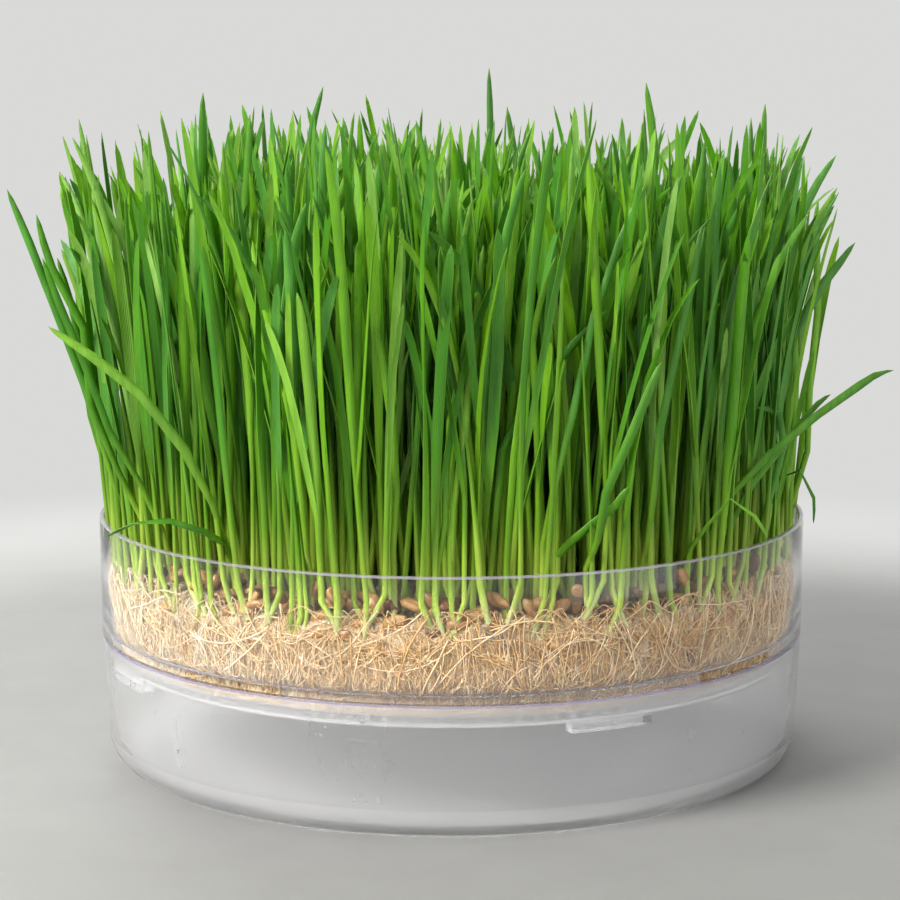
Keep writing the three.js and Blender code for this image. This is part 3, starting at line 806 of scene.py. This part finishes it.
# Blades that stray from the rest, in millimetres: width, then the points that the blade follows from foot to tip
strayBlades = [
    (3, [(-76, -31, 51.2), (-79.3, -31.5, 62.5), (-88.4, -32, 94.1), (-91.7, -31, 105.9), (-96.9, -30, 118.1),
          (-103, -29, 134.5), (-107.5, -28, 145.1)]),
    (3.2, [(-70, -44, 51.2), (-73.3, -43.3, 63), (-85.9, -46, 96), (-86.5, -46, 112.2), (-90.5, -45, 119.5),
          (-94.5, -44, 127.5), (-98.3, -42, 139.9)]),
    (2.6, [(-66, -52, 51.2), (-68.2, -51, 63), (-83.3, -56, 97.3), (-86.9, -57, 110.4), (-90.9, -57, 119.8),
          (-94.9, -56, 130.8)]),
    (2.8, [(-80, -20, 51.2), (-82.8, -19.7, 63), (-89.3, -20, 87.4), (-92.1, -18, 107.2), (-95.4, -17, 121),
          (-97.6, -16, 127.6)]),
    (3.2, [(-81, -10, 51.2), (-83.8, -10, 63), (-90.7, -10, 85.9), (-93.3, -8, 116.2), (-95.6, -6, 137.6),
          (-96.8, -5, 147.1)]),
    (3.6, [(-50, -62, 51.2), (-52, -66, 64), (-62.1, -74, 90.6), (-68.1, -76, 99.6), (-75.1, -77, 105.9),
          (-82.3, -78, 111.7), (-90.3, -79, 117.2)]),
    (2.6, [(-50, -64, 51.2), (-51.8, -66, 63.5), (-58.8, -78, 71), (-64.7, -80, 73.5), (-71.4, -81, 73),
          (-78.3, -82, 69.9)]),
    (3, [(20.5, -80, 51.2), (20.8, -81, 62), (20.8, -83, 69.2), (22.7, -83, 77.4), (23.8, -83, 86.1),
          (28.7, -82, 102.9), (33.1, -80, 123.2), (39.5, -78, 139.8), (43.3, -77, 148.6)]),
    (3.2, [(8, -78, 51.2), (9, -79, 63), (11.1, -80, 84.7), (11.7, -80, 90), (15.1, -80, 96.3), (24.9, -79, 110.5),
          (30.5, -79, 115.7), (35, -78, 120.7)]),
    (4, [(22, -74, 51.2), (23, -77, 63), (26.8, -80, 67.5), (30.8, -81, 71.3), (36.3, -82, 75.4), (40, -83, 81.3)]),
    (3.2, [(31, -80, 51.2), (30.6, -79.6, 62), (32.9, -84, 69.4), (33.9, -84, 76.5), (36.1, -84, 83.8),
          (39.8, -84, 91.9), (46.9, -83, 109.6)]),
    (3, [(0, -84, 51.2), (0, -84, 62), (0, -84.5, 64.9), (0.5, -84, 76.9), (2, -84, 86.3), (3.4, -83, 97.4),
          (4.9, -82, 110.4), (6.1, -80, 121.4), (7.2, -78, 135.3)]),
    (2.6, [(-4, -84.5, 51.2), (-3.2, -84.5, 62), (-3.1, -85, 65), (-1.1, -85, 75.1), (-1.1, -84, 86.3),
          (0.5, -83, 97.4), (2.3, -81, 109.1), (5.4, -79, 122)]),
    (3.4, [(-32, -78, 51.2), (-32.2, -77.6, 62), (-33, -80.4, 67), (-33.9, -83, 82.9), (-36.9, -82, 105.4),
          (-42.2, -80, 125.4), (-44.4, -78, 136.4)]),
    (3.2, [(-13, -83, 51.2), (-13, -83.5, 62), (-13.3, -84, 69.4), (-11.9, -84, 85.4), (-14.7, -82, 105.4),
          (-16.3, -80, 123.2), (-14, -78, 142.7)]),
    (3.4, [(44, -72, 51.2), (43.9, -71.8, 62), (45.3, -75.4, 68.5), (46.3, -77, 84.2), (49.1, -76, 102.4),
          (54, -74, 122.6), (56.6, -72, 139.1)]),
    (3.6, [(62, -46, 51.2), (63, -45, 63), (65.8, -42, 76), (72.7, -36, 104.1), (78.6, -32, 124.6),
          (82.6, -30, 133.4), (87.9, -27, 144.3), (93.5, -25, 152.9)]),
    (3, [(80, -24, 51.2), (82.2, -22.6, 62.5), (85.8, -20, 92.4), (84.6, -18, 113.9), (85.8, -16, 128.4),
          (92.5, -14, 138.9), (95.8, -13, 144.5)]),
    (2.8, [(82.5, -13.8, 51.2), (84.3, -12.8, 62.5), (88.3, -12, 69.1), (90, -11, 90.2), (92.2, -10, 114.3),
          (92.7, -10, 123.9), (91, -10, 131.9), (91.6, -10, 141.4)]),
    (3.6, [(74, -36, 51.2), (77, -35, 63), (79.4, -32, 86.7), (81.3, -30, 99.4), (83.4, -28, 108.3),
          (87.4, -26, 117.4), (92.7, -24, 123.1), (99.1, -22, 131.5)]),
    (3.4, [(58, -52, 51.2), (61, -52, 63), (66, -54, 74.4), (69.2, -54, 78.2), (75.4, -53, 83.8), (88.3, -50, 93.7),
          (95.3, -46, 97.7), (101.5, -42, 101), (106.2, -40, 102.2)]),
    (3.2, [(64, -50, 51.2), (66, -50, 63), (68.4, -50, 71.3), (73.5, -50, 78.5), (79.4, -49, 85.6),
          (82.2, -49, 89.2), (87.3, -47, 94.9), (90.3, -46, 97.2)]),
    (1.4, [(78, -34, 51.2), (78.8, -33.5, 63), (80, -36, 77.4), (82.2, -36, 78.7), (85.7, -36, 75.9), (88.1, -35, 71.1),
          (88.6, -34, 63.7)]),
    (1.8, [(55, -64, 51.2), (55.3, -64.2, 63), (58.8, -66, 66.9), (60.9, -67, 72.9), (64.4, -68, 75.7),
          (67.6, -69, 74.5), (70.5, -70, 70.9), (72.9, -70, 67.1)]),
    (2.6, [(74, -40, 51.2), (75, -40.4, 63), (79.9, -42, 83.3), (80.4, -43, 88.8), (77.8, -44, 92.8),
          (72.3, -45, 94.1)]),
    (3, [(9, 0, 51.2), (9.3, 0, 90), (9.7, 2, 140.7), (10.2, 4, 155.7), (9.7, 6, 173.8)]),
    (4, [(-62, -8, 51.2), (-62.5, -8, 90), (-61.9, -8, 116.2), (-61.7, -8, 146.2), (-61.6, -8, 168)]),
    (3, [(-34, -6, 51.2), (-34, -6, 90), (-34.9, -6, 128.6), (-35.2, -6, 156.1), (-31.8, -6, 169.4)]),
    (3.6, [(50, -4, 51.2), (50, -4, 90), (50.3, -4, 128.4), (51.2, -4, 153.5), (48.8, -4, 170.2)]),
    (3.2, [(78, -6, 51.2), (79, -6, 90), (78.6, -6, 116), (78.1, -6, 141.1), (78.4, -6, 165)]),
    (3.2, [(-16, 70, 51.2), (-18, 73, 63), (-26, 88, 96), (-40, 106, 128)]),
    (3.4, [(44, 66, 51.2), (45, 68, 63), (54, 84, 90), (68, 98, 116)]),
    (3, [(-66, 48, 51.2), (-68, 50, 63), (-80, 60, 104), (-84, 64, 136)]),
    (3.4, [(70, 40, 51.2), (73, 42, 63), (84, 50, 108), (90, 56, 142)]),
]


def bladeMaterial():
    material, tree, shader, out = newMaterial("bladeSkin")
    along = attributeOf(tree, "along")
    across = attributeOf(tree, "across")
    tint = attributeOf(tree, "tint")
    c = bladeColours

    def maths(kind, a, b=0.0):
        node = tree.nodes.new("ShaderNodeMath")
        node.operation = kind
        for value, socket in ((a, node.inputs[0]), (b, node.inputs[1])):
            if isinstance(value, bpy.types.NodeSocket):
                tree.links.new(value, socket)
            else:
                socket.default_value = value
        return node.outputs[0]

    def spanOf(value, low, high):
        node = addNode(tree, "ShaderNodeMapRange", interpolation_type="SMOOTHSTEP", **{"From Min": low, "From Max": high})
        tree.links.new(value, node.inputs["Value"])
        return node.outputs["Result"]

    leaf = addRamp(tree, tint, [(0.0, c["cool"]), (0.3, c["dark"]), (0.55, c["mid"]), (0.8, c["sun"]), (1.0, c["pale"])])
    grown = addRamp(tree, along, [(0.0, c["root"]), (0.07, c["sheath"]), (0.25, c["low"]), (1.0, c["low"])])
    grown = mixColour(tree, spanOf(along, 0.14, 0.55), grown, leaf)
    side = maths("ABSOLUTE", across)
    leafy = spanOf(along, 0.3, 0.6)
    rim = maths("MULTIPLY", spanOf(side, 0.78, 1.0), leafy)
    grown = mixColour(tree, maths("MULTIPLY", rim, 0.7), grown, c["rim"])  # painted highlight: the edges are painted paler, as where they catch the light
    # veins run the length of the blade
    wave = maths("SINE", maths("MULTIPLY", across, 24.0))
    grain = placeGroup(tree, mottle, Place=objectPlace(tree), Scale=420.0, Upright=0.05, Low=0.3, High=0.7)
    veins = maths("ADD", maths("MULTIPLY", wave, 0.28), grain.outputs["Mask"])
    shade = mixColour(tree, spanOf(veins, 0.0, 1.1), (0.74, 0.80, 0.68), (1.16, 1.12, 1.3))
    grown = mixColour(tree, 1.0, grown, shade, "MULTIPLY")
    blotch = placeGroup(tree, mottle, Place=objectPlace(tree), Scale=70.0, Upright=0.3, Low=0.3, High=0.7)
    patchy = mixColour(tree, blotch.outputs["Mask"], (0.82, 0.86, 0.8), (1.12, 1.08, 1.08))
    colour = mixColour(tree, 1.0, grown, patchy, "MULTIPLY")
    tree.links.new(colour, shader.inputs["Base Color"])
    shader.inputs["Roughness"].default_value = 0.38
    shader.inputs["Specular IOR Level"].default_value = 0.5
    bumpFrom(tree, veins, shader, 0.00008)
    lit = tree.nodes.new("ShaderNodeBsdfTranslucent")  # light comes through the blade
    tree.links.new(mixColour(tree, 1.0, colour, (1.25, 1.35, 0.8), "MULTIPLY"), lit.inputs["Color"])
    both = tree.nodes.new("ShaderNodeMixShader")
    both.inputs["Fac"].default_value = 0.22
    tree.links.new(shader.outputs["BSDF"], both.inputs[1])
    tree.links.new(lit.outputs["BSDF"], both.inputs[2])
    tree.links.new(both.outputs["Shader"], out.inputs["Surface"])
    return material


def smoothStep(low, high, value):
    t = np.clip((value - low) / (high - low), 0, 1)
    return t * t * (3 - 2 * t)


def bladeShape(rings, width, stem, sheathEnd, tip=0.86):  # half width, half thickness and fold at each ring
    s = np.array(rings)
    opened = smoothStep(sheathEnd, sheathEnd + 0.36, s)
    taper = np.where(s > tip, np.maximum(0, 1 - ((s - tip) / (1 - tip)) ** 2.0) ** 0.52, 1 - 0.12 * ((tip - s) / tip) ** 2)
    half = (stem + (width / 2 - stem) * opened) * taper
    half = np.where(s < sheathEnd, stem * (1.05 - 0.2 * s), half)
    thick = (stem * 0.9) * (1 - opened) + shootFacts["sheet"] * opened
    thick = np.where(s < sheathEnd, half, np.minimum(thick, np.maximum(half, 0.05)))
    fold = 0.42 * half * opened * (1 - 0.3 * s)
    return np.maximum(half, 0.04), np.maximum(thick, 0.04), fold


def drawBlade(dice, foot, tilt, azimuth, length, bend, sway):  # points of a blade's axis at the rings
    s = np.array(shootFacts["rings"])
    fine = np.linspace(0, 1, 41)
    angle = tilt + bend * fine ** 2.8
    swayAngle = sway * np.sin(fine * math.pi * dice.uniform(0.8, 1.6) + dice.uniform(0, 6))
    out = np.cumsum(np.sin(angle)) / 41 * length
    up = np.cumsum(np.cos(angle)) / 41 * length
    aside = np.cumsum(swayAngle) / 41 * length
    out, up, aside = (np.concatenate([[0], v[:-1]]) for v in (out, up, aside))
    out, up, aside = (np.interp(s, fine, v) for v in (out, up, aside))
    ca, sa = math.cos(azimuth), math.sin(azimuth)
    return np.stack([foot[0] + out * ca - aside * sa, foot[1] + out * sa + aside * ca, foot[2] + up], axis=1)


def makeShoots():
    dice = random.Random(2024)
    facts = shootFacts
    golden = math.pi * (3 - math.sqrt(5))
    ringCount = len(facts["rings"])
    rings = np.array(facts["rings"])
    groups = {"front": [], "middle": [], "back": []}

    def groupOf(y):
        return "front" if y < facts["frontOf"] else "middle" if y < facts["middleOf"] else "back"

    def drawIn(axis):  # a blade that would reach out too far is drawn in
        tipX, tipY = axis[-1, 0], axis[-1, 1]
        pull = max(0, 1 - facts["spread"] / math.hypot(tipX, tipY)) * rings ** 2
        axis[:, 0] -= pull * tipX
        axis[:, 1] -= pull * tipY

    def addBlade(axis, width, stem, facing, twist, tint, sheathEnd=0.2, tip=0.86):
        half, thick, fold = bladeShape(facts["rings"], width, stem, sheathEnd, tip)
        turn = facing + twist * np.array(facts["rings"])
        side = np.stack([np.cos(turn), np.sin(turn), np.zeros(ringCount)], axis=1)
        groups[groupOf(axis[0, 1])].append((axis, side, half, thick, fold, tint))

    for i in range(facts["count"]):
        radius = facts["field"] * math.sqrt((i + 0.5) / facts["count"])
        turn = i * golden
        x = radius * math.cos(turn) + dice.gauss(0, 0.9)
        y = radius * math.sin(turn) + dice.gauss(0, 0.9)
        reach = math.hypot(x, y)
        atWall = reach > 82
        if atWall:
            reach, pushed = 86.6 if dice.random() < 0.6 else min(reach, 86), reach
            x, y = x * reach / pushed, y * reach / pushed
        edge = (min(reach, 85) / facts["field"]) ** 3
        outward = facts["lean"] + (facts["leftLean"] if x < 0 else 0)
        scatter = facts["scatter"] * (1 - 0.6 * edge)
        tiltX = x / facts["field"] * edge * outward + dice.gauss(0, scatter)
        tiltY = y / facts["field"] * edge * facts["lean"] + dice.gauss(0, scatter)
        tilt = math.hypot(tiltX, tiltY)
        azimuth = math.atan2(tiltY, tiltX)
        short = dice.random()
        length = facts["length"] * (dice.uniform(0.55, 0.82) if short < 0.14 else dice.gauss(0.88, 0.075))
        length = min(length, facts["length"] * 1.02)
        bend = 0.02 + 0.34 * dice.random() ** 2 if dice.random() < 0.78 else dice.uniform(0.35, 1.0)
        low = dice.uniform(-8.0, 0) if atWall else dice.uniform(-1.5, 1.5)
        foot = np.array([x, y, facts["footZ"] + low])
        axis = drawBlade(dice, foot, tilt, azimuth, length, bend, 0.05)
        drawIn(axis)
        hook = dice.uniform(0.5, 3.5) * (1.5 if atWall else 1)  # the base curves out of its seed
        hookTurn = math.atan2(-y, -x) + (dice.choice((-1.5, 1.5)) if atWall else dice.uniform(-1.4, 1.4))
        bent = hook * (1 - smoothStep(-0.02, 0.085, rings))
        axis[:, 0] += bent * math.cos(hookTurn)
        axis[:, 1] += bent * math.sin(hookTurn)
        width = dice.uniform(*facts["blade"]) * 2
        tint = dice.random()
        facing = dice.uniform(0, math.pi)
        addBlade(axis, width, facts["stem"] * dice.uniform(0.75, 1.1), facing, dice.gauss(0, 0.8), tint,
                 dice.uniform(0.12, 0.3), dice.uniform(0.8, 0.9))
        if dice.random() < 0.55:  # a second, younger blade out of the same sheath
            start = axis[4].copy()
            second = drawBlade(dice, start, tilt + dice.uniform(0.02, 0.2), azimuth + dice.uniform(-1.6, 1.6),
                               length * dice.uniform(0.45, 0.74), dice.uniform(0.0, 0.4), 0.05)
            drawIn(second)
            half, thick, fold = bladeShape(facts["rings"], width * dice.uniform(0.6, 0.9), facts["stem"] * 0.6, -0.1)
            turned = facing + math.pi / 2 + dice.uniform(-0.5, 0.5) + dice.gauss(0, 0.6) * np.array(facts["rings"])
            side = np.stack([np.cos(turned), np.sin(turned), np.zeros(ringCount)], axis=1)
            groups[groupOf(y)].append((second, side, half, thick, fold, tint + 2))
    for width, path in strayBlades:
        points = [Vector(p) for p in path]
        spans = np.concatenate([[0], np.cumsum([(b - a).length for a, b in zip(points, points[1:])])])
        knots = np.array(path)
        s = np.array(facts["rings"]) * spans[-1]
        axis = np.stack([curveThrough(spans, knots[:, k], s) for k in range(3)], axis=1)
        width *= facts["strayWidth"]
        stem = min(facts["stem"], width / 2)
        addBlade(axis, width, stem, facts["strayFacing"] - dice.uniform(0, 0.4), 0.4, 0.1 + 0.8 * dice.random())
    for key, blades in groups.items():
        corners, faces = tubeTemplate(facts["sides"][key], ringCount - 1)
        axes, sides, half, thick, fold, tints = (np.array(v) for v in zip(*blades))
        made = bendCopies(corners, axes * mm, sides, half * mm, thick * mm, fold * mm)
        ring = np.rint(corners[:, 2]).astype(int)
        second = tints >= 2
        along = np.array(facts["rings"])[ring][None, :] * np.ones((len(blades), 1))
        along = np.where(second[:, None], 0.32 + 0.68 * along, along)
        across = corners[:, 0][None, :] * np.ones((len(blades), 1))
        tint = np.repeat((tints % 2)[:, None], len(corners), axis=1)
        piece = piecesFromCopies(key + "Blades", made, faces, {"along": along, "across": across, "tint": tint})
        smoothByAngle(piece, facts["sharp"][key])
        rideAs(piece, "sprouted_wheat", "wheat", bladeSkin)
        print(key, "blades", len(blades))


def curveThrough(spans, values, at):  # a smooth curve through a few values
    slopes = np.gradient(values, spans)
    i = np.clip(np.searchsorted(spans, at, side="right") - 1, 0, len(spans) - 2)
    width = spans[i + 1] - spans[i]
    t = (at - spans[i]) / width
    return ((2 * t ** 3 - 3 * t ** 2 + 1) * values[i] + (t ** 3 - 2 * t ** 2 + t) * width * slopes[i]
            + (-2 * t ** 3 + 3 * t ** 2) * values[i + 1] + (t ** 3 - t ** 2) * width * slopes[i + 1])


bladeSkin = bladeMaterial()
makeShoots()
print("shoots are made")


# Beads of water on the inside of the lower tray

dropFacts = {"count": 320, "small": 0.22, "large": 0.75}


def waterMaterial():
    material, tree, shader, out = newMaterial("waterBeads")
    shader.inputs["Base Color"].default_value = (1, 1, 1, 1)
    shader.inputs["Transmission Weight"].default_value = 1
    shader.inputs["IOR"].default_value = 1.33
    shader.inputs["Roughness"].default_value = 0.0
    return material


def makeDrops():
    dice = random.Random(5)
    clearPick()
    bpy.ops.mesh.primitive_ico_sphere_add(subdivisions=1, radius=1)
    corners, faces = templateData(nameNew("bead"))
    made = []
    for _ in range(dropFacts["count"]):
        turn = dice.uniform(0, 2 * math.pi)
        z = 9 + 20 * dice.random() ** 0.7
        size = dropFacts["small"] + (dropFacts["large"] - dropFacts["small"]) * dice.random() ** 3
        radius = 87.15 + (z - 8.4) * 0.05 - 0.05
        flat = corners * np.array([0.45, 1, 1.15]) * size
        made.append(flat @ turnMatrix(turn, 0, 0).T + np.array([radius * math.cos(turn), radius * math.sin(turn), z]))
    drops = piecesFromCopies("waterBeads", np.array(made) * mm, faces, {})
    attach(drops, "root")
    drops.data.materials.append(waterMaterial())


makeDrops()
print("water beads are made")
